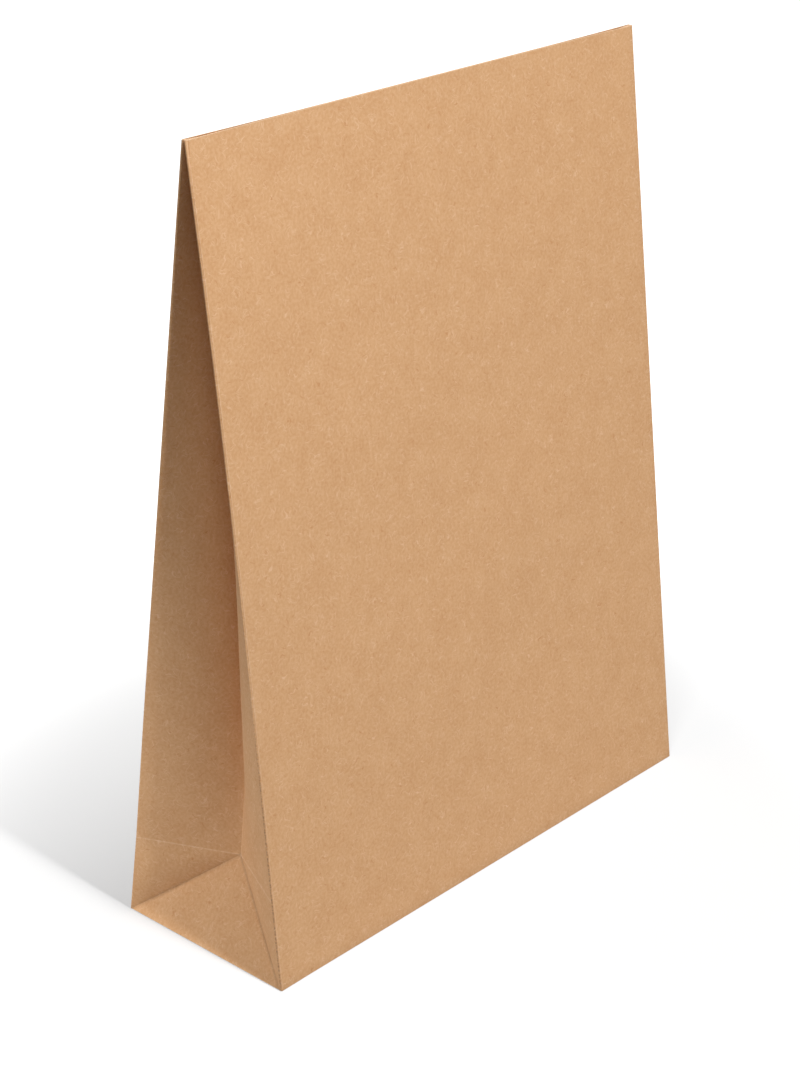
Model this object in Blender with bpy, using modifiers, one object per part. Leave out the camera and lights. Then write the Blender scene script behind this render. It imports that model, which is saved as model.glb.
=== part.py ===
"""Kraft paper gift bag with side gussets and a block bottom, standing with its mouth pressed shut.

Metres, Z up. The origin is the middle of the bottom on the surface it stands on, and the front
panel faces -Y. The bag is modelled the way it is made: flat panels and gussets are scored, folded
round into a tube and closed at the bottom, the sheet gets its paper thickness, and the bottom
flaps and the glued lap down the front left corner are raised as laid-on layers.
"""
import math

import bmesh
import bpy
from mathutils import Vector

# Driving dimensions of the bag
BAG_WIDTH = 0.300
BAG_DEPTH = 0.102
PANEL_LENGTH = 0.392
PAPER = 0.0002

# Long folds: outer radius at the four corners, and air-side radius in the middle of each gusset
CORNER_RADIUS = 0.00055
MIDDLE_RADIUS = 0.00015

# Air between the two panels in the middle of the pressed mouth
MOUTH_GAP = 0.0009

# Creases across the gussets and the back, each this far below half the depth
MIDDLE_SETBACK = 0.0037
FRONT_SETBACK = 0.0054
BACK_SETBACK = 0.0084

# How the gussets stand: lean of the side triangle, and run of the middle fold to the mouth
SIDE_LEAN = math.radians(31.5)
MIDDLE_FOLD_CURVE = 1.15
MIDDLE_FOLD_DROP = 0.003
GUSSET_BOW = 0.0050

# How the panels stand: bow of the front panel's left edge, and set left by the back's crease
FRONT_BOW = 0.0028
FRONT_BOW_HEIGHT = 1.25
BACK_CREASE_SET = 0.0004

# Bottom flaps, and the front panel's lap over the glue flap of the left gusset
FLAP_OVERLAP = 0.026
LAP_WIDTH = 0.018

# Mesh steps
PANEL_STEPS = 12
GUSSET_STEPS = 6
HEIGHT_STEPS = 13
CORNER_STEPS = 4
MIDDLE_STEPS = 2

KRAFT_COLOUR = (0.66, 0.40, 0.21, 1.0)
KRAFT_ROUGHNESS = 0.85

# Sizes that follow from the ones above
HALF_WIDTH = BAG_WIDTH / 2
HALF_DEPTH = BAG_DEPTH / 2
BASE_LEVEL = 2 * PAPER
FOLD_PACK = 2 * CORNER_RADIUS + MIDDLE_RADIUS
PRESSED_HALF = MOUTH_GAP / 2 + PAPER
MIDDLE_CREASE = HALF_DEPTH - MIDDLE_SETBACK
FRONT_CREASE = HALF_DEPTH - FRONT_SETBACK
BACK_CREASE = HALF_DEPTH - BACK_SETBACK
PANEL_RISE = math.sqrt(PANEL_LENGTH ** 2 - (HALF_DEPTH - FOLD_PACK) ** 2)
MIDDLE_FLAT = math.pi * MIDDLE_RADIUS
GUSSET_FLAT = 2 * HALF_DEPTH + MIDDLE_FLAT
FRONT, BACK = -1, 1
LEFT, RIGHT = -1, 1


def clear_scene():
    for item in list(bpy.data.objects):
        bpy.data.objects.remove(item, do_unlink=True)


def evenly(start, end, steps):
    return [start + (end - start) * i / steps for i in range(steps + 1)]


def share(part, whole):
    """How far part is along whole, held within 0 to 1 against rounding."""
    return min(1.0, max(0.0, part / whole))


def crease_height(face):
    return FRONT_CREASE if face == FRONT else BACK_CREASE


def height(v):
    """Height of a point of a panel that lies v up the sheet from the bottom fold."""
    return BASE_LEVEL + PANEL_RISE * v / PANEL_LENGTH


def outer_face(face, x, v):
    """Distance of a panel's outer face from the middle plane, at x and v up the sheet."""
    rise = share(v, PANEL_LENGTH)
    edge = (abs(x) / HALF_WIDTH) ** 4
    pressed = PRESSED_HALF + (FOLD_PACK - PRESSED_HALF) * edge
    depth = HALF_DEPTH * (1 - rise) + pressed * rise
    if face == FRONT:
        nearness = max(0.0, (HALF_WIDTH - x) / BAG_WIDTH) ** 2
        return depth + FRONT_BOW * nearness * math.sin(math.pi * rise ** FRONT_BOW_HEIGHT)
    crease_reach = 2.5 * BACK_CREASE
    if v <= BACK_CREASE:
        return depth - BACK_CREASE_SET * v / BACK_CREASE
    return depth - BACK_CREASE_SET * max(0.0, (crease_reach - v) / (crease_reach - BACK_CREASE))


def corner_centre(side, face, v):
    """Centre of a corner fold: distance in from the side, and signed distance from the middle plane."""
    depth = outer_face(face, side * (HALF_WIDTH - CORNER_RADIUS), v)
    return Vector((CORNER_RADIUS, face * (depth - CORNER_RADIUS)))


def middle_centre(side, climb):
    """Centre of a gusset's middle fold, in from the side and from the middle plane, and its height.

    climb runs from 0 at the top of the side triangle to 1 at the mouth.
    """
    foot = MIDDLE_CREASE * math.sin(SIDE_LEAN)
    inward = foot + (HALF_DEPTH - foot) * (1 - (1 - climb) ** MIDDLE_FOLD_CURVE)
    v = MIDDLE_CREASE + (PANEL_LENGTH - MIDDLE_CREASE) * climb
    across = (corner_centre(side, FRONT, v).y + corner_centre(side, BACK, v).y) / 2
    foot_level = BASE_LEVEL + MIDDLE_CREASE * math.cos(SIDE_LEAN)
    mouth_level = height(PANEL_LENGTH) - MIDDLE_FOLD_DROP
    level = foot_level + (mouth_level - foot_level) * climb
    return Vector((inward, across)), level


def leg_angle(side, face, climb):
    """Angle in plan between a panel and the gusset half that leaves it."""
    edge_v = crease_height(face) + (PANEL_LENGTH - crease_height(face)) * climb
    start = corner_centre(side, face, edge_v)
    end, level = middle_centre(side, climb)
    run = end.x - start.x
    rise = (end.y - start.y) * -face
    reach = math.hypot(run, rise)
    return math.atan2(rise, run) - math.asin((CORNER_RADIUS + MIDDLE_RADIUS) / reach)


def world(side, plan, level):
    return Vector((side * (HALF_WIDTH - plan.x), plan.y, level))


def corner_point(side, face, turn, v):
    """Point of a corner fold: turn 0 is where the panel ends, 1 where the gusset begins."""
    crease = crease_height(face)
    climb = share(v - crease, PANEL_LENGTH - crease)
    sweep = math.pi - leg_angle(side, face, climb)
    angle = 1.5 * math.pi - turn * sweep
    centre = corner_centre(side, face, v)
    offset = Vector((math.cos(angle), -face * math.sin(angle))) * CORNER_RADIUS
    return world(side, centre + offset, height(v))


def middle_point(side, turn, climb):
    """Point of a gusset's middle fold: turn 0 ends the front half, 1 begins the back half."""
    centre, level = middle_centre(side, climb)
    first = leg_angle(side, FRONT, climb) - math.pi / 2
    last = math.pi / 2 - leg_angle(side, BACK, climb)
    angle = first + (last - first) * turn
    offset = Vector((math.cos(angle), math.sin(angle))) * MIDDLE_RADIUS
    return world(side, centre + offset, level)


def bow_out(side, face, climb):
    """How far, and which way, the middle of a gusset half bows out into the side recess."""
    angle = leg_angle(side, face, climb)
    amount = GUSSET_BOW * 6.75 * climb * (1 - climb) ** 2
    return Vector((side * math.sin(angle), -face * math.cos(angle), 0)) * amount


def gusset_half_point(side, face, across, v):
    """Point of a gusset half above or on its crease, or in the facet between crease and corner.

    across runs from 0 at the corner fold to 1 at the middle fold.
    """
    crease = crease_height(face)
    crease_here = crease + (MIDDLE_CREASE - crease) * across
    end_turn = 0 if face == FRONT else 1
    if v >= crease_here:
        climb = share(v - crease_here, PANEL_LENGTH - crease_here)
        edge_v = crease + (PANEL_LENGTH - crease) * climb
        start = corner_point(side, face, 1, edge_v)
        end = middle_point(side, end_turn, climb)
        bow = bow_out(side, face, climb) * 4 * across * (1 - across)
        return start.lerp(end, across) + bow
    corner = corner_point(side, face, 1, 0)
    edge = corner_point(side, face, 1, crease)
    apex = middle_point(side, end_turn, 0)
    up = (v - MIDDLE_CREASE * across) / crease
    return corner + (apex - corner) * across + (edge - corner) * up


def side_triangle_point(side, across, v):
    """Point of the side triangle, across from its front edge to its back edge."""
    rise = v / MIDDLE_CREASE
    front = corner_point(side, FRONT, 1, 0).lerp(middle_point(side, 0, 0), rise)
    back = corner_point(side, BACK, 1, 0).lerp(middle_point(side, 1, 0), rise)
    return front.lerp(back, across)


def fold_gusset(side, p, v):
    """Folded place of the gusset's flat point p in from its front edge and v up from the bottom."""
    first = HALF_DEPTH * v / MIDDLE_CREASE
    last = GUSSET_FLAT - first
    if v <= MIDDLE_CREASE and first <= p <= last:
        width = last - first
        return side_triangle_point(side, (p - first) / width if width > 0 else 0.0, v)
    if p <= HALF_DEPTH:
        return gusset_half_point(side, FRONT, p / HALF_DEPTH, v)
    if p >= HALF_DEPTH + MIDDLE_FLAT:
        return gusset_half_point(side, BACK, (GUSSET_FLAT - p) / HALF_DEPTH, v)
    climb = share(v - MIDDLE_CREASE, PANEL_LENGTH - MIDDLE_CREASE)
    return middle_point(side, (p - HALF_DEPTH) / MIDDLE_FLAT, climb)


def fold_panel(face, u, v):
    """Folded place of a panel's flat point. Past the panel's ends, u runs round the corner folds."""
    end = HALF_WIDTH - CORNER_RADIUS
    if abs(u) <= end:
        return Vector((u, face * outer_face(face, u, v), height(v)))
    side = LEFT if u < 0 else RIGHT
    return corner_point(side, face, (abs(u) - end) / CORNER_RADIUS, v)


def score(sheet, start, end, faces=None):
    """Put an edge along the line through two flat points, across the given faces of a flat sheet."""
    chosen = list(sheet.faces) if faces is None else faces
    edges = {edge for face in chosen for edge in face.edges}
    verts = {vert for face in chosen for vert in face.verts}
    line = Vector((end[0] - start[0], end[1] - start[1], 0))
    normal = Vector((-line.y, line.x, 0)).normalized()
    geometry = chosen + list(edges) + list(verts)
    bmesh.ops.bisect_plane(sheet, geom=geometry, dist=1e-7, plane_co=(*start, 0), plane_no=normal)


def flat_sheet(left, right, top):
    """A flat rectangle from v = 0 to the top, in the plan of the unfolded bag."""
    sheet = bmesh.new()
    bmesh.ops.create_grid(sheet, x_segments=1, y_segments=1, size=0.5)
    bmesh.ops.scale(sheet, vec=(right - left, top, 1), verts=sheet.verts)
    bmesh.ops.translate(sheet, vec=((left + right) / 2, top / 2, 0), verts=sheet.verts)
    return sheet


def fold_into(skin, sheet, fold):
    """Fold a scored sheet and add it to the skin."""
    for vert in sheet.verts:
        vert.co = fold(vert.co.x, vert.co.y)
    mesh = bpy.data.meshes.new("folded_sheet")
    sheet.to_mesh(mesh)
    sheet.free()
    skin.from_mesh(mesh)
    bpy.data.meshes.remove(mesh)


def shared_rows():
    """Heights up the sheet, above the creases, where panels and gussets have matching edges."""
    return evenly(MIDDLE_CREASE, PANEL_LENGTH, HEIGHT_STEPS)[1:-1]


def add_panel(skin, face):
    end = HALF_WIDTH - CORNER_RADIUS
    sheet = flat_sheet(-HALF_WIDTH, HALF_WIDTH, PANEL_LENGTH)
    columns = evenly(-end, end, PANEL_STEPS) + evenly(end, HALF_WIDTH, CORNER_STEPS)[1:-1]
    columns += evenly(-end, -HALF_WIDTH, CORNER_STEPS)[1:-1]
    if face == FRONT:
        columns.append(LAP_WIDTH - end)
    for u in sorted(columns):
        score(sheet, (u, 0), (u, 1))
    for v in [crease_height(face)] + shared_rows():
        score(sheet, (0, v), (1, v))
    fold_into(skin, sheet, lambda u, v: fold_panel(face, u, v))


def crease_line(p):
    """Height of the crease across a gusset, at flat distance p in from its front edge."""
    if p <= HALF_DEPTH:
        return FRONT_CREASE + (MIDDLE_CREASE - FRONT_CREASE) * p / HALF_DEPTH
    if p >= HALF_DEPTH + MIDDLE_FLAT:
        return BACK_CREASE + (MIDDLE_CREASE - BACK_CREASE) * (GUSSET_FLAT - p) / HALF_DEPTH
    return MIDDLE_CREASE


def faces_where(sheet, test):
    chosen = []
    for face in sheet.faces:
        centre = face.calc_center_median()
        if test(centre.x, centre.y):
            chosen.append(face)
    return chosen


def score_gusset_half(sheet, edge, middle, crease):
    """Score one half of a gusset: its diagonal, its crease, then the columns above the crease."""
    low, high = sorted((edge, middle))

    def steepness(p):
        return MIDDLE_CREASE * (p - edge) / (middle - edge)

    half = faces_where(sheet, lambda p, v: low < p < high)
    score(sheet, (edge, 0), (middle, MIDDLE_CREASE), half)
    upper = faces_where(sheet, lambda p, v: low < p < high and v > steepness(p))
    score(sheet, (edge, crease), (middle, MIDDLE_CREASE), upper)
    for p in evenly(edge, middle, GUSSET_STEPS)[1:-1]:
        above = faces_where(sheet, lambda x, v: low < x < high and v > crease_line(x))
        score(sheet, (p, 0), (p, 1), above)


def add_gusset(skin, side):
    front_edge, back_edge = 0.0, GUSSET_FLAT
    first, last = HALF_DEPTH, HALF_DEPTH + MIDDLE_FLAT
    sheet = flat_sheet(front_edge, back_edge, PANEL_LENGTH)
    score(sheet, (first, 0), (first, 1))
    score(sheet, (last, 0), (last, 1))
    score_gusset_half(sheet, front_edge, first, FRONT_CREASE)
    score_gusset_half(sheet, back_edge, last, BACK_CREASE)
    strip = faces_where(sheet, lambda p, v: first < p < last)
    score(sheet, (0, MIDDLE_CREASE), (1, MIDDLE_CREASE), strip)
    for p in evenly(first, last, MIDDLE_STEPS)[1:-1]:
        strip = faces_where(sheet, lambda x, v: first < x < last and v > MIDDLE_CREASE)
        score(sheet, (p, 0), (p, 1), strip)
    for v in shared_rows():
        above = faces_where(sheet, lambda p, y: y > crease_line(p))
        score(sheet, (0, v), (1, v), above)
    fold_into(skin, sheet, lambda p, v: fold_gusset(side, p, v))


def close_bottom(skin):
    """Fill the bottom rectangle inside the tube's lower edge."""
    lower = [edge for edge in skin.edges
             if edge.is_boundary and all(abs(v.co.z - BASE_LEVEL) < PAPER / 10 for v in edge.verts)]
    bmesh.ops.contextual_create(skin, geom=lower)


def folded_skin():
    """The outer face of the whole bag as one open surface, its normals pointing out."""
    skin = bmesh.new()
    for face in (FRONT, BACK):
        add_panel(skin, face)
    for side in (LEFT, RIGHT):
        add_gusset(skin, side)
    bmesh.ops.remove_doubles(skin, verts=skin.verts, dist=PAPER / 100)
    close_bottom(skin)
    bmesh.ops.recalc_face_normals(skin, faces=skin.faces)
    bottom = max(skin.faces, key=lambda face: -face.calc_center_median().z)
    if bottom.normal.z > 0:
        bmesh.ops.reverse_faces(skin, faces=skin.faces)
    mesh = bpy.data.meshes.new("paper_bag")
    skin.to_mesh(mesh)
    skin.free()
    return mesh


def give_thickness(bag):
    """Grow the skin inwards by the thickness of the paper and make the result real."""
    solidify = bag.modifiers.new("paper thickness", "SOLIDIFY")
    solidify.thickness = PAPER
    solidify.offset = -1
    solidify.use_even_offset = True
    solidify.use_quality_normals = True
    evaluated = bag.evaluated_get(bpy.context.evaluated_depsgraph_get())
    solid = bpy.data.meshes.new_from_object(evaluated)
    bag.modifiers.clear()
    skin = bag.data
    bag.data = solid
    bpy.data.meshes.remove(skin)


def raise_layer(shell, faces, shift):
    """Lay one more thickness of paper on some faces. shift gives the move of a point of them."""
    raised = bmesh.ops.extrude_face_region(shell, geom=faces)
    for vert in [item for item in raised["geom"] if isinstance(item, bmesh.types.BMVert)]:
        vert.co += shift(vert.co)
    bmesh.ops.delete(shell, geom=faces, context="FACES")
    return [item for item in raised["geom"] if isinstance(item, bmesh.types.BMFace)]


def in_outer_flap(x, y):
    return y > -FLAP_OVERLAP / 2 and abs(x) < HALF_WIDTH - (HALF_DEPTH - y)


def in_inner_flap(x, y):
    return not in_outer_flap(x, y) and abs(x) < HALF_WIDTH - (y + HALF_DEPTH)


def bottom_faces(shell, test):
    chosen = []
    for face in shell.faces:
        centre = face.calc_center_median()
        if face.normal.z < -0.9 and centre.z < BASE_LEVEL + PAPER / 2 and test(centre.x, centre.y):
            chosen.append(face)
    return chosen


def add_bottom_flaps(shell):
    """Fold the inner flap, from the front, and then the outer flap over the underside."""
    cut = -FLAP_OVERLAP / 2
    score(shell, (0, cut), (1, cut), bottom_faces(shell, lambda x, y: True))
    for side in (LEFT, RIGHT):
        back_corner = (side * HALF_WIDTH, HALF_DEPTH)
        front_corner = (side * HALF_WIDTH, -HALF_DEPTH)
        middle = (side * (HALF_WIDTH - HALF_DEPTH), 0)
        behind_cut = bottom_faces(shell, lambda x, y: y > cut)
        score(shell, back_corner, middle, behind_cut)
        beside_outer = bottom_faces(shell, lambda x, y: not in_outer_flap(x, y))
        score(shell, front_corner, middle, beside_outer)
    both = bottom_faces(shell, lambda x, y: in_outer_flap(x, y) or in_inner_flap(x, y))
    laid = raise_layer(shell, both, lambda point: Vector((0, 0, -PAPER)))
    outer = [face for face in laid if in_outer_flap(*face.calc_center_median().xy)]
    raise_layer(shell, outer, lambda point: Vector((0, 0, -PAPER)))


def add_side_lap(shell):
    """Lay the front panel's left edge over the glue flap: a cut edge that thins out to the panel."""
    lean = math.atan2(PANEL_RISE, HALF_DEPTH - FOLD_PACK)
    out = Vector((0, -math.sin(lean), math.cos(lean)))
    cut_edge = CORNER_RADIUS - HALF_WIDTH

    def on_lap(face):
        centre = face.calc_center_median()
        v = (centre.z - BASE_LEVEL) * PANEL_LENGTH / PANEL_RISE
        outside = abs(centre.y + outer_face(FRONT, centre.x, v)) < PAPER / 2
        return outside and cut_edge < centre.x < cut_edge + LAP_WIDTH and face.normal.y < -0.9

    def shift(point):
        return out * PAPER * max(0.0, 1 - (point.x - cut_edge) / LAP_WIDTH)

    raise_layer(shell, [face for face in shell.faces if on_lap(face)], shift)


def kraft_material():
    material = bpy.data.materials.new("kraft_paper")
    material.use_nodes = True
    shader = material.node_tree.nodes["Principled BSDF"]
    shader.inputs["Base Color"].default_value = KRAFT_COLOUR
    shader.inputs["Roughness"].default_value = KRAFT_ROUGHNESS
    shader.inputs["Metallic"].default_value = 0.0
    return material


def build_bag():
    bag = bpy.data.objects.new("paper_bag", folded_skin())
    collection = bpy.data.collections.new("paper_gift_bag")
    bpy.context.scene.collection.children.link(collection)
    collection.objects.link(bag)
    give_thickness(bag)
    shell = bmesh.new()
    shell.from_mesh(bag.data)
    add_bottom_flaps(shell)
    add_side_lap(shell)
    bmesh.ops.remove_doubles(shell, verts=shell.verts, dist=PAPER / 100)
    shell.to_mesh(bag.data)
    shell.free()
    bag.data.materials.append(kraft_material())


clear_scene()
build_bag()
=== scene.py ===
"""Looks of a brown kraft paper gift bag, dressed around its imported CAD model.

The bag is modelled again as the one sheet it is made of: flat panels and gussets are scored in edit
mode, folded, welded and given the thickness of the paper, and its finish follows the sheet.
"""
import math

import bmesh
import bpy
from mathutils import Matrix, Vector, noise


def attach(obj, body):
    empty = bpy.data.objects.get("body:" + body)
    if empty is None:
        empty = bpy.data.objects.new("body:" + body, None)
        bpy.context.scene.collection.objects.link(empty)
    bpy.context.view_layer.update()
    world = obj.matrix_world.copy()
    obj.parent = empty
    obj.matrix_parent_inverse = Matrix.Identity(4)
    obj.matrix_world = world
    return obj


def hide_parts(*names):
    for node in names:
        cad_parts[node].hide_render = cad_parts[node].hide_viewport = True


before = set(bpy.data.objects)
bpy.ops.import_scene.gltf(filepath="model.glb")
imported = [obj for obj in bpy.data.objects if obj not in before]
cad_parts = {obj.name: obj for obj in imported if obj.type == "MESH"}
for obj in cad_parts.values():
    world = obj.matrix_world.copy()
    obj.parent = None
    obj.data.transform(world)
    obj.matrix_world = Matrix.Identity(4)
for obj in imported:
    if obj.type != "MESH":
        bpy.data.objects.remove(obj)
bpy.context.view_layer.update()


# Paper bag
# The real bag is one sheet of brown kraft paper about 0.2 mm thick. It is scored, folded round into
# a tube with a gusset in each side, and closed below by its own pasted flaps. The front panel's
# left edge is a cut edge, pasted over a narrow flap of the left gusset.
BAG_WIDTH = 0.300
BAG_DEPTH = 0.102
PANEL_LENGTH = 0.392
PAPER = 0.0002
CORNER_RADIUS = 0.00055
MIDDLE_RADIUS = 0.00015
MOUTH_GAP = 0.0003
MIDDLE_SETBACK = 0.0037
FRONT_SETBACK = 0.0054
BACK_SETBACK = 0.0084
SIDE_LEAN = math.radians(31.5)
MIDDLE_FOLD_CURVE = 1.15
MIDDLE_FOLD_DROP = 0.003
GUSSET_BOW = 0.0050
FRONT_BOW = 0.0028
FRONT_BOW_HEIGHT = 1.25
BACK_CREASE_SET = 0.0004
BACK_SET_REACH = 2.5
WAVE_HEIGHT = 0.0006
WAVES_PER_METRE = 14
WAVES_UP_PANEL = 4.5
WAVE_PLACE = 3.7
FLAP_OVERLAP = 0.026
LAP_WIDTH = 0.018
LAP_SLANT_RISE = 0.016
LAP_SLANT_RUN = 0.0012

SHEET_STEP = 0.005
CORNER_STEPS = 8
MIDDLE_STEPS = 4
NEAR = 1e-6
NOT_ZERO = 1e-9
SMOOTH_BELOW = math.radians(50)

HALF_WIDTH = BAG_WIDTH / 2
HALF_DEPTH = BAG_DEPTH / 2
BASE_LEVEL = 2 * PAPER
FOLD_PACK = 2 * CORNER_RADIUS + MIDDLE_RADIUS
PRESSED_HALF = MOUTH_GAP / 2 + PAPER
MIDDLE_CREASE = HALF_DEPTH - MIDDLE_SETBACK
FRONT_CREASE = HALF_DEPTH - FRONT_SETBACK
BACK_CREASE = HALF_DEPTH - BACK_SETBACK
PANEL_END = HALF_WIDTH - CORNER_RADIUS
PANEL_RISE = math.sqrt(PANEL_LENGTH ** 2 - (HALF_DEPTH - FOLD_PACK) ** 2)
MIDDLE_FLAT = math.pi * MIDDLE_RADIUS
GUSSET_FLAT = 2 * HALF_DEPTH + MIDDLE_FLAT
ROWS = round(PANEL_LENGTH / SHEET_STEP)
FRONT, BACK = -1, 1
LEFT, RIGHT = -1, 1

# Steepness with which the gusset's low facets roll into the diagonal folds
FACET_ROLL = {FRONT: 0.10, BACK: 0.32}


def share(part, whole):
    """How far part is along whole, held within 0 to 1 against rounding."""
    return min(1.0, max(0.0, part / whole))


def crease_height(face):
    return FRONT_CREASE if face == FRONT else BACK_CREASE


def height(v):
    return BASE_LEVEL + PANEL_RISE * v / PANEL_LENGTH


def slack(x, rise):
    """Slight waves that handling leaves in the open middle of a panel."""
    calm = (1 - (x / HALF_WIDTH) ** 2) * math.sin(math.pi * rise)
    along = Vector((x * WAVES_PER_METRE, rise * WAVES_UP_PANEL, WAVE_PLACE))
    return WAVE_HEIGHT * calm * noise.noise(along)


def outer_face(face, x, v):
    """Distance of a panel's outer face from the middle plane, at x and v up the sheet."""
    rise = share(v, PANEL_LENGTH)
    edge = (abs(x) / HALF_WIDTH) ** 4
    pressed = PRESSED_HALF + (FOLD_PACK - PRESSED_HALF) * edge
    depth = HALF_DEPTH * (1 - rise) + pressed * rise + face * slack(x, rise)
    if face == FRONT:
        nearness = max(0.0, (HALF_WIDTH - x) / BAG_WIDTH) ** 2
        return depth + FRONT_BOW * nearness * math.sin(math.pi * rise ** FRONT_BOW_HEIGHT)
    crease_reach = BACK_SET_REACH * BACK_CREASE
    if v <= BACK_CREASE:
        return depth - BACK_CREASE_SET * v / BACK_CREASE
    return depth - BACK_CREASE_SET * max(0.0, (crease_reach - v) / (crease_reach - BACK_CREASE))


def corner_centre(side, face, v):
    """Centre of a corner fold, in from the side and from the middle plane."""
    depth = outer_face(face, side * PANEL_END, v)
    return Vector((CORNER_RADIUS, face * (depth - CORNER_RADIUS)))


def middle_centre(side, climb):
    """Centre of a gusset's middle fold, and its height, from the side triangle up to the mouth."""
    foot = MIDDLE_CREASE * math.sin(SIDE_LEAN)
    inward = foot + (HALF_DEPTH - foot) * (1 - (1 - climb) ** MIDDLE_FOLD_CURVE)
    v = MIDDLE_CREASE + (PANEL_LENGTH - MIDDLE_CREASE) * climb
    across = (corner_centre(side, FRONT, v).y + corner_centre(side, BACK, v).y) / 2
    foot_level = BASE_LEVEL + MIDDLE_CREASE * math.cos(SIDE_LEAN)
    mouth_level = height(PANEL_LENGTH) - MIDDLE_FOLD_DROP
    return Vector((inward, across)), foot_level + (mouth_level - foot_level) * climb


def leg_angle(side, face, climb):
    """Angle in plan between a panel and the gusset half that leaves it."""
    edge_v = crease_height(face) + (PANEL_LENGTH - crease_height(face)) * climb
    start = corner_centre(side, face, edge_v)
    end = middle_centre(side, climb)[0]
    run = end.x - start.x
    rise = (end.y - start.y) * -face
    tangent = math.asin((CORNER_RADIUS + MIDDLE_RADIUS) / math.hypot(run, rise))
    return math.atan2(rise, run) - tangent


def placed(side, plan, level):
    return Vector((side * (HALF_WIDTH - plan.x), plan.y, level))


def corner_point(side, face, turn, v):
    """Point of a corner fold: turn 0 is where the panel ends, 1 where the gusset begins."""
    crease = crease_height(face)
    sweep = math.pi - leg_angle(side, face, share(v - crease, PANEL_LENGTH - crease))
    angle = 1.5 * math.pi - turn * sweep
    offset = Vector((math.cos(angle), -face * math.sin(angle))) * CORNER_RADIUS
    return placed(side, corner_centre(side, face, v) + offset, height(v))


def middle_point(side, turn, climb):
    """Point of a gusset's middle fold: turn 0 ends the front half, 1 begins the back half."""
    centre, level = middle_centre(side, climb)
    first = leg_angle(side, FRONT, climb) - math.pi / 2
    last = math.pi / 2 - leg_angle(side, BACK, climb)
    angle = first + (last - first) * turn
    return placed(side, centre + Vector((math.cos(angle), math.sin(angle))) * MIDDLE_RADIUS, level)


def gusset_half_point(side, face, across, v):
    """Point of a gusset half, across from the corner fold to the middle fold.

    Above its crease the half bows out into the recess, and 6.75 and 4 bring the two curves of the
    bow to a peak of 1. Below the crease it rolls into the diagonal fold.
    """
    crease = crease_height(face)
    crease_here = crease + (MIDDLE_CREASE - crease) * across
    end_turn = 0 if face == FRONT else 1
    if v >= crease_here:
        climb = share(v - crease_here, PANEL_LENGTH - crease_here)
        angle = leg_angle(side, face, climb)
        start = corner_point(side, face, 1, crease + (PANEL_LENGTH - crease) * climb)
        bow = GUSSET_BOW * 6.75 * climb * (1 - climb) ** 2 * 4 * across * (1 - across)
        out = Vector((side * math.sin(angle), -face * math.cos(angle), 0))
        return start.lerp(middle_point(side, end_turn, climb), across) + out * bow
    above_fold = share(v - MIDDLE_CREASE * across, crease * max(NOT_ZERO, 1 - across))
    edge_point = corner_point(side, face, 1, crease * above_fold)
    flat = edge_point.lerp(middle_point(side, end_turn, 0), across)
    angle = leg_angle(side, face, 0)
    out = Vector((side * math.sin(angle), -face * math.cos(angle), 0))
    roll = FACET_ROLL[face] * crease * (1 - across) * (1 - (1 - across) ** 8)
    return flat + out * roll * above_fold * (1 - above_fold)


def fold_gusset(side, p, v):
    """Folded place of the gusset's flat point p in from its front edge and v up from the bottom."""
    first = HALF_DEPTH * v / MIDDLE_CREASE
    last = GUSSET_FLAT - first
    if v <= MIDDLE_CREASE and first <= p <= last:
        rise = share(v, MIDDLE_CREASE)
        front = corner_point(side, FRONT, 1, 0).lerp(middle_point(side, 0, 0), rise)
        back = corner_point(side, BACK, 1, 0).lerp(middle_point(side, 1, 0), rise)
        return front.lerp(back, share(p - first, max(NOT_ZERO, last - first)))
    if p <= HALF_DEPTH:
        return gusset_half_point(side, FRONT, share(p, HALF_DEPTH), v)
    if p >= HALF_DEPTH + MIDDLE_FLAT:
        return gusset_half_point(side, BACK, share(GUSSET_FLAT - p, HALF_DEPTH), v)
    climb = share(v - MIDDLE_CREASE, PANEL_LENGTH - MIDDLE_CREASE)
    return middle_point(side, share(p - HALF_DEPTH, MIDDLE_FLAT), climb)


def fold_panel(face, u, v):
    """Folded place of a panel's flat point. Past its ends, u runs round the corner folds."""
    if abs(u) <= PANEL_END:
        return Vector((u, face * outer_face(face, u, v), height(v)))
    side = LEFT if u < 0 else RIGHT
    return corner_point(side, face, share(abs(u) - PANEL_END, CORNER_RADIUS), v)


def select_where(kind, test):
    """Select the edges or faces of the sheet being edited whose middle passes the test."""
    sheet = bmesh.from_edit_mesh(bpy.context.edit_object.data)
    bpy.ops.mesh.select_all(action="DESELECT")
    bpy.ops.mesh.select_mode(type=kind)
    items = sheet.faces if kind == "FACE" else sheet.edges
    for item in items:
        middle = sum((vert.co for vert in item.verts), Vector()) / len(item.verts)
        if test(item, middle):
            item.select_set(True)
    bmesh.update_edit_mesh(bpy.context.edit_object.data)


def score(start, end):
    """Crease the selected faces along the line through two flat points."""
    normal = Vector((start[1] - end[1], end[0] - start[0], 0)).normalized()
    bpy.ops.mesh.bisect(plane_co=(*start, 0), plane_no=normal, threshold=NEAR)


def draw_out(x, reach, steps):
    """Extrude the sheet's edge at x sideways, in steps."""
    for i in range(steps):
        edge = x + reach * i / steps
        select_where("EDGE", lambda item, middle: item.is_boundary and abs(middle.x - edge) < NEAR)
        bpy.ops.mesh.extrude_edges_move(TRANSFORM_OT_translate={"value": (reach / steps, 0, 0)})


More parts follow.
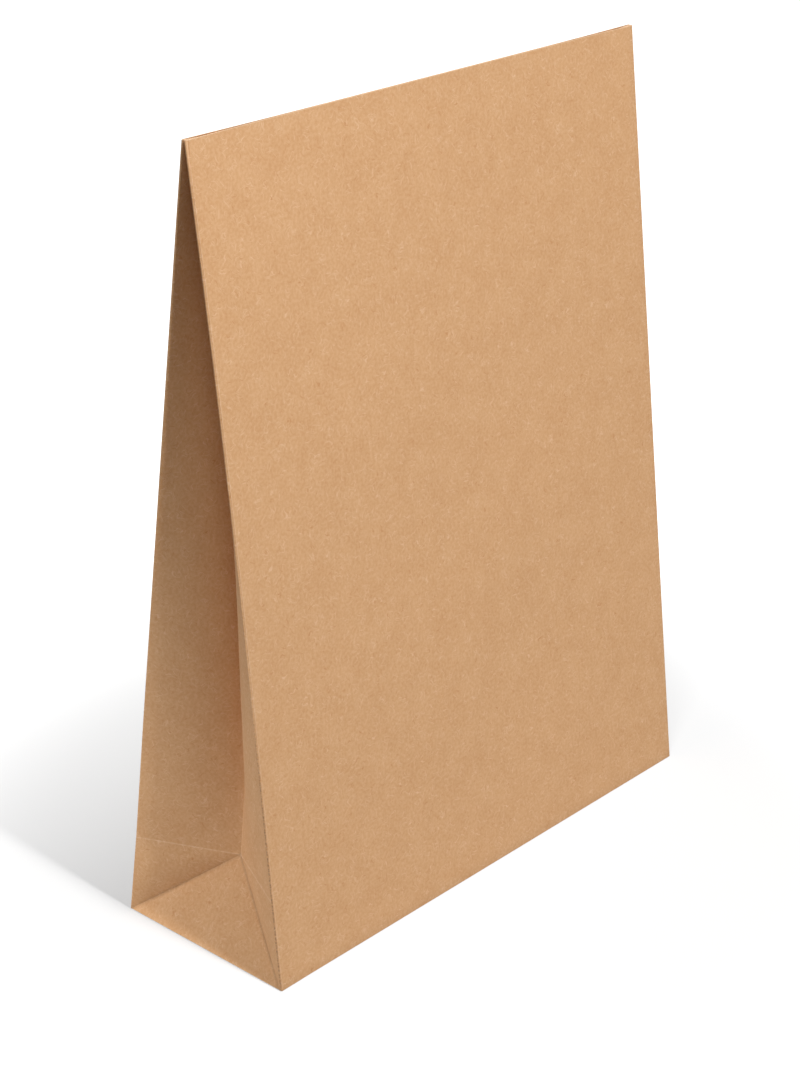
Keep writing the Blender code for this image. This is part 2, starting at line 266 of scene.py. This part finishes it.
def cut_sheet(name, left, right):
    """A flat grid of paper from v = 0 to the mouth, open for editing."""
    bpy.ops.object.select_all(action="DESELECT")
    columns = max(2, round((right - left) / SHEET_STEP))
    bpy.ops.mesh.primitive_grid_add(x_subdivisions=columns, y_subdivisions=ROWS, size=1)
    sheet = bpy.context.active_object
    sheet.name = name
    sheet.data.transform(Matrix.Diagonal((right - left, PANEL_LENGTH, 1, 1)))
    sheet.data.transform(Matrix.Translation(((left + right) / 2, PANEL_LENGTH / 2, 0)))
    bpy.ops.object.mode_set(mode="EDIT")
    bpy.ops.mesh.select_mode(type="FACE")
    bpy.ops.mesh.select_all(action="SELECT")
    return sheet


def fold(sheet, sheet_u, place):
    """Keep each flat point's place on the whole sheet in the map, then fold the piece."""
    bpy.ops.object.mode_set(mode="OBJECT")
    mesh = sheet.data
    flat = mesh.uv_layers.active or mesh.uv_layers.new()
    flat.name = "sheet"
    for loop in mesh.loops:
        point = mesh.vertices[loop.vertex_index].co
        flat.data[loop.index].uv = (sheet_u(point.x), point.y)
    for vert in mesh.vertices:
        vert.co = place(vert.co.x, vert.co.y)


front_middle = -BAG_WIDTH - GUSSET_FLAT
front_panel = cut_sheet("front_panel", -PANEL_END, PANEL_END)
score((0, FRONT_CREASE), (1, FRONT_CREASE))
bpy.ops.mesh.select_all(action="SELECT")
score((LAP_WIDTH - PANEL_END, 0), (LAP_WIDTH - PANEL_END, 1))
slant_foot = (-PANEL_END, PANEL_LENGTH - LAP_SLANT_RISE)
slant_head = (LAP_SLANT_RUN - PANEL_END, PANEL_LENGTH)
select_where("FACE", lambda item, middle: middle.x < -PANEL_END + SHEET_STEP)
score(slant_foot, slant_head)
draw_out(PANEL_END, CORNER_RADIUS, CORNER_STEPS)
draw_out(-PANEL_END, -CORNER_RADIUS, CORNER_STEPS)
fold(front_panel, lambda x: front_middle + x, lambda x, v: fold_panel(FRONT, x, v))

back_panel = cut_sheet("back_panel", -PANEL_END, PANEL_END)
score((0, BACK_CREASE), (1, BACK_CREASE))
draw_out(PANEL_END, CORNER_RADIUS, CORNER_STEPS)
draw_out(-PANEL_END, -CORNER_RADIUS, CORNER_STEPS)
fold(back_panel, lambda x: -x, lambda x, v: fold_panel(BACK, x, v))

panels_and_gussets = [front_panel, back_panel]
for side, name in ((LEFT, "left_gusset"), (RIGHT, "right_gusset")):
    gusset = cut_sheet(name, 0, HALF_DEPTH)
    score((0, 0), (HALF_DEPTH, MIDDLE_CREASE))
    bpy.ops.mesh.mark_sharp()
    bpy.ops.mesh.select_all(action="SELECT")
    score((0, FRONT_CREASE), (HALF_DEPTH, MIDDLE_CREASE))
    front_slope = (MIDDLE_CREASE - FRONT_CREASE) / HALF_DEPTH
    select_where("EDGE", lambda item, middle:
                 abs(middle.y - FRONT_CREASE - front_slope * middle.x) < NEAR)
    bpy.ops.mesh.mark_sharp()
    draw_out(HALF_DEPTH, MIDDLE_FLAT, MIDDLE_STEPS)
    bpy.ops.object.mode_set(mode="OBJECT")
    back_half = cut_sheet(name + "_back", HALF_DEPTH + MIDDLE_FLAT, GUSSET_FLAT)
    score((GUSSET_FLAT, 0), (HALF_DEPTH + MIDDLE_FLAT, MIDDLE_CREASE))
    bpy.ops.mesh.mark_sharp()
    bpy.ops.mesh.select_all(action="SELECT")
    score((GUSSET_FLAT, BACK_CREASE), (HALF_DEPTH + MIDDLE_FLAT, MIDDLE_CREASE))
    back_slope = (MIDDLE_CREASE - BACK_CREASE) / HALF_DEPTH
    select_where("EDGE", lambda item, middle:
                 abs(middle.y - BACK_CREASE - back_slope * (GUSSET_FLAT - middle.x)) < NEAR)
    bpy.ops.mesh.mark_sharp()
    bpy.ops.object.mode_set(mode="OBJECT")
    gusset.select_set(True)
    bpy.context.view_layer.objects.active = gusset
    bpy.ops.object.join()
    start = -side * (HALF_WIDTH + GUSSET_FLAT)
    fold(gusset, lambda p: start + side * p, lambda p, v: fold_gusset(side, p, v))
    panels_and_gussets.append(gusset)

# Weld the folded pieces into one tube and fill its bottom
bpy.ops.object.select_all(action="DESELECT")
for piece in panels_and_gussets:
    piece.select_set(True)
bag = front_panel
bpy.context.view_layer.objects.active = bag
bpy.ops.object.join()
bag.name = bag.data.name = "kraft_bag"
bpy.ops.object.mode_set(mode="EDIT")
bpy.ops.mesh.select_all(action="SELECT")
bpy.ops.mesh.remove_doubles(threshold=PAPER / 40)
select_where("EDGE", lambda item, middle: item.is_boundary and middle.z < BASE_LEVEL + PAPER / 10)
bpy.ops.mesh.edge_face_add()
bpy.ops.mesh.select_all(action="SELECT")
bpy.ops.mesh.normals_make_consistent(inside=False)
bpy.ops.object.mode_set(mode="OBJECT")


def lay_map_on_bottom():
    """Run the sheet's map on from the front panel over the underside."""
    flat = bag.data.uv_layers["sheet"]
    for face in bag.data.polygons:
        if face.normal.z > -0.9 or face.center.z > BASE_LEVEL + PAPER:
            continue
        for index in face.loop_indices:
            point = bag.data.vertices[bag.data.loops[index].vertex_index].co
            flat.data[index].uv = (front_middle + point.x, -HALF_DEPTH - point.y)


lay_map_on_bottom()

# Give the sheet its thickness, inwards from the folded outer face
thickness = bag.modifiers.new("paper thickness", "SOLIDIFY")
thickness.thickness = PAPER
thickness.offset = -1
thickness.use_even_offset = True
thickness.use_quality_normals = True
bpy.context.view_layer.objects.active = bag
bpy.ops.object.modifier_apply(modifier=thickness.name)


# Fold the inner flap from the front, then the outer flap from the back, over the underside
def outer_flap(point):
    return point.y > -FLAP_OVERLAP / 2 and abs(point.x) < HALF_WIDTH - (HALF_DEPTH - point.y)


def inner_flap(point):
    return not outer_flap(point) and abs(point.x) < HALF_WIDTH - (point.y + HALF_DEPTH)


def on_underside(item, middle):
    return item.normal.z < -0.9 and middle.z < BASE_LEVEL + PAPER / 2


bpy.ops.object.mode_set(mode="EDIT")
flap_edge = -FLAP_OVERLAP / 2
select_where("FACE", on_underside)
score((0, flap_edge), (1, flap_edge))
for side in (LEFT, RIGHT):
    shoulder = (side * (HALF_WIDTH - HALF_DEPTH), 0)
    select_where("FACE", lambda item, middle: on_underside(item, middle) and middle.y > flap_edge)
    score((side * HALF_WIDTH, HALF_DEPTH), shoulder)
    select_where("FACE", lambda item, middle: on_underside(item, middle) and not outer_flap(middle))
    score((side * HALF_WIDTH, -HALF_DEPTH), shoulder)
select_where("FACE", lambda item, middle: on_underside(item, middle)
             and (outer_flap(middle) or inner_flap(middle)))
bpy.ops.mesh.extrude_region_move(TRANSFORM_OT_translate={"value": (0, 0, -PAPER)})
select_where("FACE", lambda item, middle: on_underside(item, middle) and outer_flap(middle))
bpy.ops.mesh.extrude_region_move(TRANSFORM_OT_translate={"value": (0, 0, -PAPER)})

# Lay the front panel's cut edge over the glue flap: it thins out to the panel behind it
lean = math.atan2(PANEL_RISE, HALF_DEPTH - FOLD_PACK)
panel_out = Vector((0, -math.sin(lean), math.cos(lean)))


def on_lap(item, middle):
    v = (middle.z - BASE_LEVEL) * PANEL_LENGTH / PANEL_RISE
    outside = abs(middle.y + outer_face(FRONT, middle.x, v)) < PAPER / 2
    past_slant = middle.x + PANEL_END > LAP_SLANT_RUN * (v - slant_foot[1]) / LAP_SLANT_RISE
    return outside and past_slant and 0 < middle.x + PANEL_END < LAP_WIDTH and item.normal.y < -0.9


select_where("FACE", on_lap)
bpy.ops.mesh.extrude_region_move(TRANSFORM_OT_translate={"value": (0, 0, 0)})
shell = bmesh.from_edit_mesh(bag.data)
for vert in shell.verts:
    if vert.select:
        vert.co += panel_out * PAPER * max(0.0, 1 - (vert.co.x + PANEL_END) / LAP_WIDTH)
bmesh.update_edit_mesh(bag.data)
bpy.ops.mesh.select_all(action="SELECT")
bpy.ops.mesh.remove_doubles(threshold=PAPER / 100)
bpy.ops.object.mode_set(mode="OBJECT")
bpy.ops.object.select_all(action="DESELECT")
bag.select_set(True)
bpy.ops.object.shade_smooth_by_angle(angle=SMOOTH_BELOW, keep_sharp_edges=True)

# Kraft finish: colour, mottling, fibres and pressed creases, with painted shade in the fold valleys
# # and a painted shadow and partly painted highlight at the seam, all laid out on the flat sheet
KRAFT_LIGHT = (0.706, 0.409, 0.205, 1.0)
KRAFT_DARK = (0.669, 0.374, 0.180, 1.0)
KRAFT_ROUGHNESS = 0.82

kraft = bpy.data.materials.new("kraft_paper")
kraft.use_nodes = True
kraft_nodes = kraft.node_tree.nodes
kraft_links = kraft.node_tree.links
kraft_shader = kraft_nodes["Principled BSDF"]
kraft_shader.inputs["Roughness"].default_value = KRAFT_ROUGHNESS
kraft_shader.inputs["Specular IOR Level"].default_value = 0.25


def add_node(kind, inputs=(), **settings):
    """Add a node, set its settings and inputs, and link the inputs that are outputs of others."""
    made = kraft_nodes.new(kind)
    for name, value in settings.items():
        setattr(made, name, value)
    for key, value in dict(inputs).items():
        if isinstance(value, bpy.types.NodeSocket):
            kraft_links.new(value, made.inputs[key])
        else:
            made.inputs[key].default_value = value
    return made


def maths(operation, first, second=0.0):
    return add_node("ShaderNodeMath", {0: first, 1: second}, operation=operation).outputs[0]


def ramp(value, low, high, to_low=0.0, to_high=1.0):
    inputs = {"Value": value, "From Min": low, "From Max": high,
              "To Min": to_low, "To Max": to_high}
    return add_node("ShaderNodeMapRange", inputs, interpolation_type="SMOOTHSTEP").outputs[0]


sheet_map = add_node("ShaderNodeUVMap", uv_map="sheet").outputs[0]
sheet_mm = add_node("ShaderNodeVectorMath", {0: sheet_map, 3: 1000.0}, operation="SCALE").outputs[0]


def soft_noise(size_mm, detail, roughness=0.5):
    inputs = {"Vector": sheet_mm, "Scale": 1 / size_mm, "Detail": detail, "Roughness": roughness}
    return add_node("ShaderNodeTexNoise", inputs, noise_dimensions="2D")


bend = soft_noise(5.0, 1.0).outputs["Color"]
bend_centred = add_node("ShaderNodeVectorMath", {0: bend, 1: (0.5, 0.5, 0.5)}, operation="SUBTRACT")
bend_scaled = add_node("ShaderNodeVectorMath", {0: bend_centred.outputs[0], 3: 5.0},
                       operation="SCALE")
curled = add_node("ShaderNodeVectorMath", {0: sheet_mm, 1: bend_scaled.outputs[0]}, operation="ADD")


def fibres(turn, length, width, radius, keep, shift):
    """Short curled fibres that lie about one way: long thin spots, of which a share is kept."""
    laid = add_node("ShaderNodeMapping", {"Vector": curled.outputs[0], "Rotation": (0, 0, turn),
                                          "Location": (shift, -shift, 0)})
    scaled = add_node("ShaderNodeVectorMath", {0: laid.outputs[0], 1: (1 / length, 1 / width, 1)},
                      operation="MULTIPLY")
    cells = add_node("ShaderNodeTexVoronoi", {"Vector": scaled.outputs[0], "Scale": 1.0},
                     voronoi_dimensions="2D")
    spot = ramp(cells.outputs["Distance"], radius, radius * 0.45, 0.0, 1.0)
    pick = add_node("ShaderNodeSeparateColor", {"Color": cells.outputs["Color"]}).outputs[0]
    return maths("MULTIPLY", spot, ramp(pick, 1 - keep, 1 - keep + 0.2))


def strongest(layers):
    total = layers[0]
    for layer in layers[1:]:
        total = maths("MAXIMUM", total, layer)
    return total


pale_fibres = strongest([
    fibres(0.35, 10.0, 0.72, 0.26, 0.26, 3.1), fibres(1.15, 9.0, 0.68, 0.26, 0.26, 17.3),
    fibres(1.90, 9.5, 0.72, 0.25, 0.26, 41.9), fibres(2.70, 10.0, 0.68, 0.26, 0.26, 63.7)])
dark_fibres = strongest([
    fibres(0.80, 6.0, 0.75, 0.25, 0.20, 77.1), fibres(2.20, 6.0, 0.75, 0.25, 0.20, 91.5)])
specks = fibres(0.0, 3.2, 2.8, 0.11, 0.14, 29.9)

clouds = ramp(soft_noise(16.0, 4.0, 0.60).outputs["Fac"], 0.25, 0.75)
grain = soft_noise(1.5, 3.0, 0.6).outputs["Fac"]

# Creases: pressed lines that show a little paler, where the fibres are broken, and painted shade
# # that darkens the valleys of the diagonal folds
place = add_node("ShaderNodeSeparateXYZ", {"Vector": sheet_map})
up_sheet = place.outputs["Y"]
in_gusset = maths("SUBTRACT", maths("ABSOLUTE", place.outputs["X"]), HALF_WIDTH)


def line(start, end, half_width, across=in_gusset):
    """1 on the line between two points of the sheet, falling to 0 at half_width from it."""
    run, rise = end[0] - start[0], end[1] - start[1]
    length = math.hypot(run, rise)
    dx = maths("SUBTRACT", across, start[0])
    dy = maths("SUBTRACT", up_sheet, start[1])
    off = maths("ABSOLUTE", maths("SUBTRACT", maths("MULTIPLY", dx, rise / length),
                                  maths("MULTIPLY", dy, run / length)))
    along = maths("ADD", maths("MULTIPLY", dx, run / length), maths("MULTIPLY", dy, rise / length))
    past = maths("MAXIMUM", maths("SUBTRACT", 0.0, along), maths("SUBTRACT", along, length))
    reach = maths("MAXIMUM", off, past)
    return ramp(reach, half_width, 0.0)


apex = (GUSSET_FLAT / 2, MIDDLE_CREASE)
back_crease = line((0, BACK_CREASE), apex, 0.0006)
front_crease = line((GUSSET_FLAT, FRONT_CREASE), apex, 0.0009)
diagonals = maths("MAXIMUM", line((0, 0), apex, 0.0005), line((GUSSET_FLAT, 0), apex, 0.0005))
centre_crease = line((GUSSET_FLAT / 2, 0), apex, 0.0005)
# Painted shade along the valleys of the diagonal folds, weaker on the back one
valley_painted_shade = maths("MAXIMUM", maths("MULTIPLY", line((0, 0), apex, 0.0018), 0.6),
                line((GUSSET_FLAT, 0), apex, 0.0016))
beside_middle = GUSSET_FLAT / 2 + 0.0008
middle_fold = line((beside_middle, MIDDLE_CREASE), (beside_middle, PANEL_LENGTH), 0.0007)
rear_crease = line((-2 * HALF_WIDTH, BACK_CREASE), (0, BACK_CREASE), 0.0006)
along_sheet = place.outputs["X"]
# At the seam: a pale line on the front panel's cut edge, partly paler fibre and partly painted
# highlight, and beside it on the fold a dotted line of painted shadow, stronger towards the foot
seam_edge_and_highlight_at = front_middle - PANEL_END + 0.00030
seam_shadow_at = front_middle - PANEL_END - 0.00022
seam_edge_and_highlight = line((seam_edge_and_highlight_at, 0), (seam_edge_and_highlight_at, PANEL_LENGTH), 0.00045, across=along_sheet)
seam_painted_shadow = line((seam_shadow_at, 0), (seam_shadow_at, PANEL_LENGTH), 0.00026, across=along_sheet)
broken = ramp(soft_noise(2.2, 2.0).outputs["Fac"], 0.30, 0.62)
dotted = ramp(soft_noise(1.1, 1.0).outputs["Fac"], 0.35, 0.65, 0.30, 1.0)
seam_shadow_amount = maths("MULTIPLY", dotted, ramp(up_sheet, 0.16, 0.08, 0.10, 0.70))

creases = strongest([
    back_crease, front_crease,
    maths("MULTIPLY", diagonals, 0.20), maths("MULTIPLY", centre_crease, 0.35),
    maths("MULTIPLY", middle_fold, 0.9), maths("MULTIPLY", rear_crease, 0.8),
    maths("MULTIPLY", seam_edge_and_highlight, 0.8)])
cut_edge = ramp(up_sheet, PANEL_LENGTH - 0.0005, PANEL_LENGTH - 0.0001)
worn = maths("MULTIPLY", creases, maths("ADD", maths("MULTIPLY", broken, 0.6), 0.4))


def mixed(factor, first, second):
    """Blend two colours. On a colour mix node these are inputs 6 and 7, and output 2."""
    node = add_node("ShaderNodeMix", {0: factor, 6: first, 7: second}, data_type="RGBA")
    return node.outputs[2]


PALE = (0.93, 0.68, 0.46, 1.0)
DARK = (0.55, 0.225, 0.065, 1.0)
SHADOW = (0.16, 0.085, 0.045, 1.0)
colour = mixed(clouds, KRAFT_DARK, KRAFT_LIGHT)
colour = mixed(ramp(grain, 0.30, 0.75, 0.0, 0.13), colour, PALE)
colour = mixed(ramp(grain, 0.65, 0.30, 0.0, 0.14), colour, DARK)
colour = mixed(maths("MULTIPLY", pale_fibres, 0.32), colour, PALE)
colour = mixed(maths("MULTIPLY", dark_fibres, 0.50), colour, DARK)
colour = mixed(maths("MULTIPLY", specks, 0.45), colour, DARK)
# Pale crease lines, and the seam's pale line, which is partly painted highlight
colour = mixed(maths("MULTIPLY", worn, 0.42), colour, PALE)
# Painted shade in the valleys of the diagonal folds
colour = mixed(maths("MULTIPLY", valley_painted_shade, 0.22), colour, SHADOW)
colour = mixed(maths("MULTIPLY", cut_edge, 0.5), colour, PALE)
# Painted shadow on the fold beside the front panel's cut edge
colour = mixed(maths("MULTIPLY", seam_painted_shadow, seam_shadow_amount), colour, SHADOW)
kraft_links.new(colour, kraft_shader.inputs["Base Color"])

relief = maths("ADD", maths("MULTIPLY", grain, 0.5), maths("MULTIPLY", pale_fibres, 0.35))
relief = maths("ADD", relief, maths("MULTIPLY", creases, 1.2))
bump = add_node("ShaderNodeBump", {"Height": relief, "Strength": 0.08, "Distance": 0.00008})
kraft_links.new(bump.outputs[0], kraft_shader.inputs["Normal"])

bag.data.materials.clear()
bag.data.materials.append(kraft)
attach(bag, "root")
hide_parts("paper_bag")


# Floor
# A plain white paper sweep that the bag stands on. It stays matt white, and keeps the bag's shadow.
FLOOR_REACH = 3.0
FLOOR_GREY = (0.32, 0.32, 0.32, 1.0)
FLOOR_LIFT = 0.475
LIFT_STARTS = 0.18
LIFT_ENDS = 0.42

bpy.ops.object.select_all(action="DESELECT")
bpy.ops.mesh.primitive_circle_add(vertices=96, radius=FLOOR_REACH, fill_type="NGON")
floor = bpy.context.active_object
floor.name = "floor"
white = bpy.data.materials.new("white_sweep")
white.use_nodes = True
white.node_tree.nodes.clear()


def floor_node(kind, inputs=(), **settings):
    made = white.node_tree.nodes.new(kind)
    for name, value in settings.items():
        setattr(made, name, value)
    for key, value in dict(inputs).items():
        if isinstance(value, bpy.types.NodeSocket):
            white.node_tree.links.new(value, made.inputs[key])
        else:
            made.inputs[key].default_value = value
    return made


matt = floor_node("ShaderNodeBsdfDiffuse", {"Color": FLOOR_GREY}).outputs[0]
where = floor_node("ShaderNodeTexCoord").outputs["Object"]
far = floor_node("ShaderNodeVectorMath", {0: where}, operation="LENGTH").outputs["Value"]
lift = floor_node("ShaderNodeMapRange", {"Value": far, "From Min": LIFT_STARTS,
                                         "From Max": LIFT_ENDS, "To Min": FLOOR_LIFT,
                                         "To Max": 1.0},
                  interpolation_type="SMOOTHSTEP").outputs[0]
seen = floor_node("ShaderNodeLightPath").outputs["Is Camera Ray"]
lift_seen = floor_node("ShaderNodeMath", {0: lift, 1: seen}, operation="MULTIPLY").outputs[0]
lit = floor_node("ShaderNodeEmission", {"Color": (1, 1, 1, 1), "Strength": lift_seen}).outputs[0]
floor_sum = floor_node("ShaderNodeAddShader", {0: matt, 1: lit}).outputs[0]
floor_node("ShaderNodeOutputMaterial", {"Surface": floor_sum})
floor.data.materials.append(white)


# Lights
# One long narrow strip hangs high in front of the bag. A weak lamp high at its left brightens the
# triangle at the foot, and a weak card low at the left the folded-in side, dark towards the mouth.
def strip_lamp(name, place, aim, width, length, power):
    lamp = bpy.data.lights.new(name, "AREA")
    lamp.shape = "RECTANGLE"
    lamp.size = width
    lamp.size_y = length
    lamp.energy = power
    lamp_object = bpy.data.objects.new(name, lamp)
    lamp_object.location = place
    lamp_object.rotation_euler = (Vector(aim) - Vector(place)).to_track_quat("-Z", "Y").to_euler()
    bpy.context.scene.collection.objects.link(lamp_object)


strip_lamp("key", (-0.135, -1.26, 3.96), (0, 0, 0.20), 0.12, 1.58, 226.0)
strip_lamp("high_left", (-0.507, -0.195, 2.006), (-0.14, 0, 0.05), 0.25, 0.25, 13.6)
strip_lamp("low_card", (-0.36, 0.13, 0.03), (-0.15, 0, 0.05), 0.20, 0.05, 0.29)

world = bpy.data.worlds.new("pale_room")
bpy.context.scene.world = world
world.use_nodes = True
world_nodes = world.node_tree.nodes
world_links = world.node_tree.links
room = world_nodes["Background"]
room.inputs["Color"].default_value = (1, 1, 1, 1)
room.inputs["Strength"].default_value = 0.01
clean = world_nodes.new("ShaderNodeBackground")
clean.inputs["Color"].default_value = (1, 1, 1, 1)
clean.inputs["Strength"].default_value = 1.0
rays = world_nodes.new("ShaderNodeLightPath")
room_mix = world_nodes.new("ShaderNodeMixShader")
world_links.new(rays.outputs["Is Camera Ray"], room_mix.inputs[0])
world_links.new(room.outputs[0], room_mix.inputs[1])
world_links.new(clean.outputs[0], room_mix.inputs[2])
world_links.new(room_mix.outputs[0], world_nodes["World Output"].inputs["Surface"])


# Camera
# It stands at the front left, a little above the bag, and tilts under one degree, as in the photo.
PHOTO_HEIGHT = 1066
FOCAL_PIXELS = 2440
AZIMUTH = math.radians(-48.31)
ELEVATION = math.radians(24.18)
ROLL = math.radians(0.71)
CAMERA_SHIFT = Vector((0.00798, -0.15111, -1.25042))

back = Vector((math.sin(AZIMUTH) * math.cos(ELEVATION), -math.cos(AZIMUTH) * math.cos(ELEVATION),
               math.sin(ELEVATION)))
level_x = Vector((0, 0, 1)).cross(back).normalized()
level_y = back.cross(level_x)
camera_x = level_x * math.cos(ROLL) + level_y * math.sin(ROLL)
camera_y = level_y * math.cos(ROLL) - level_x * math.sin(ROLL)
turn = Matrix((camera_x, camera_y, back)).transposed()
camera = bpy.data.cameras.new("camera")
camera.sensor_fit = "VERTICAL"
camera.sensor_height = 36.0
camera.lens = FOCAL_PIXELS * camera.sensor_height / PHOTO_HEIGHT
camera.clip_start = 0.05
camera_object = bpy.data.objects.new("camera", camera)
camera_object.matrix_world = Matrix.Translation(turn @ -CAMERA_SHIFT) @ turn.to_4x4()
bpy.context.scene.collection.objects.link(camera_object)
bpy.context.scene.camera = camera_object
bpy.context.scene.view_settings.view_transform = "Standard"
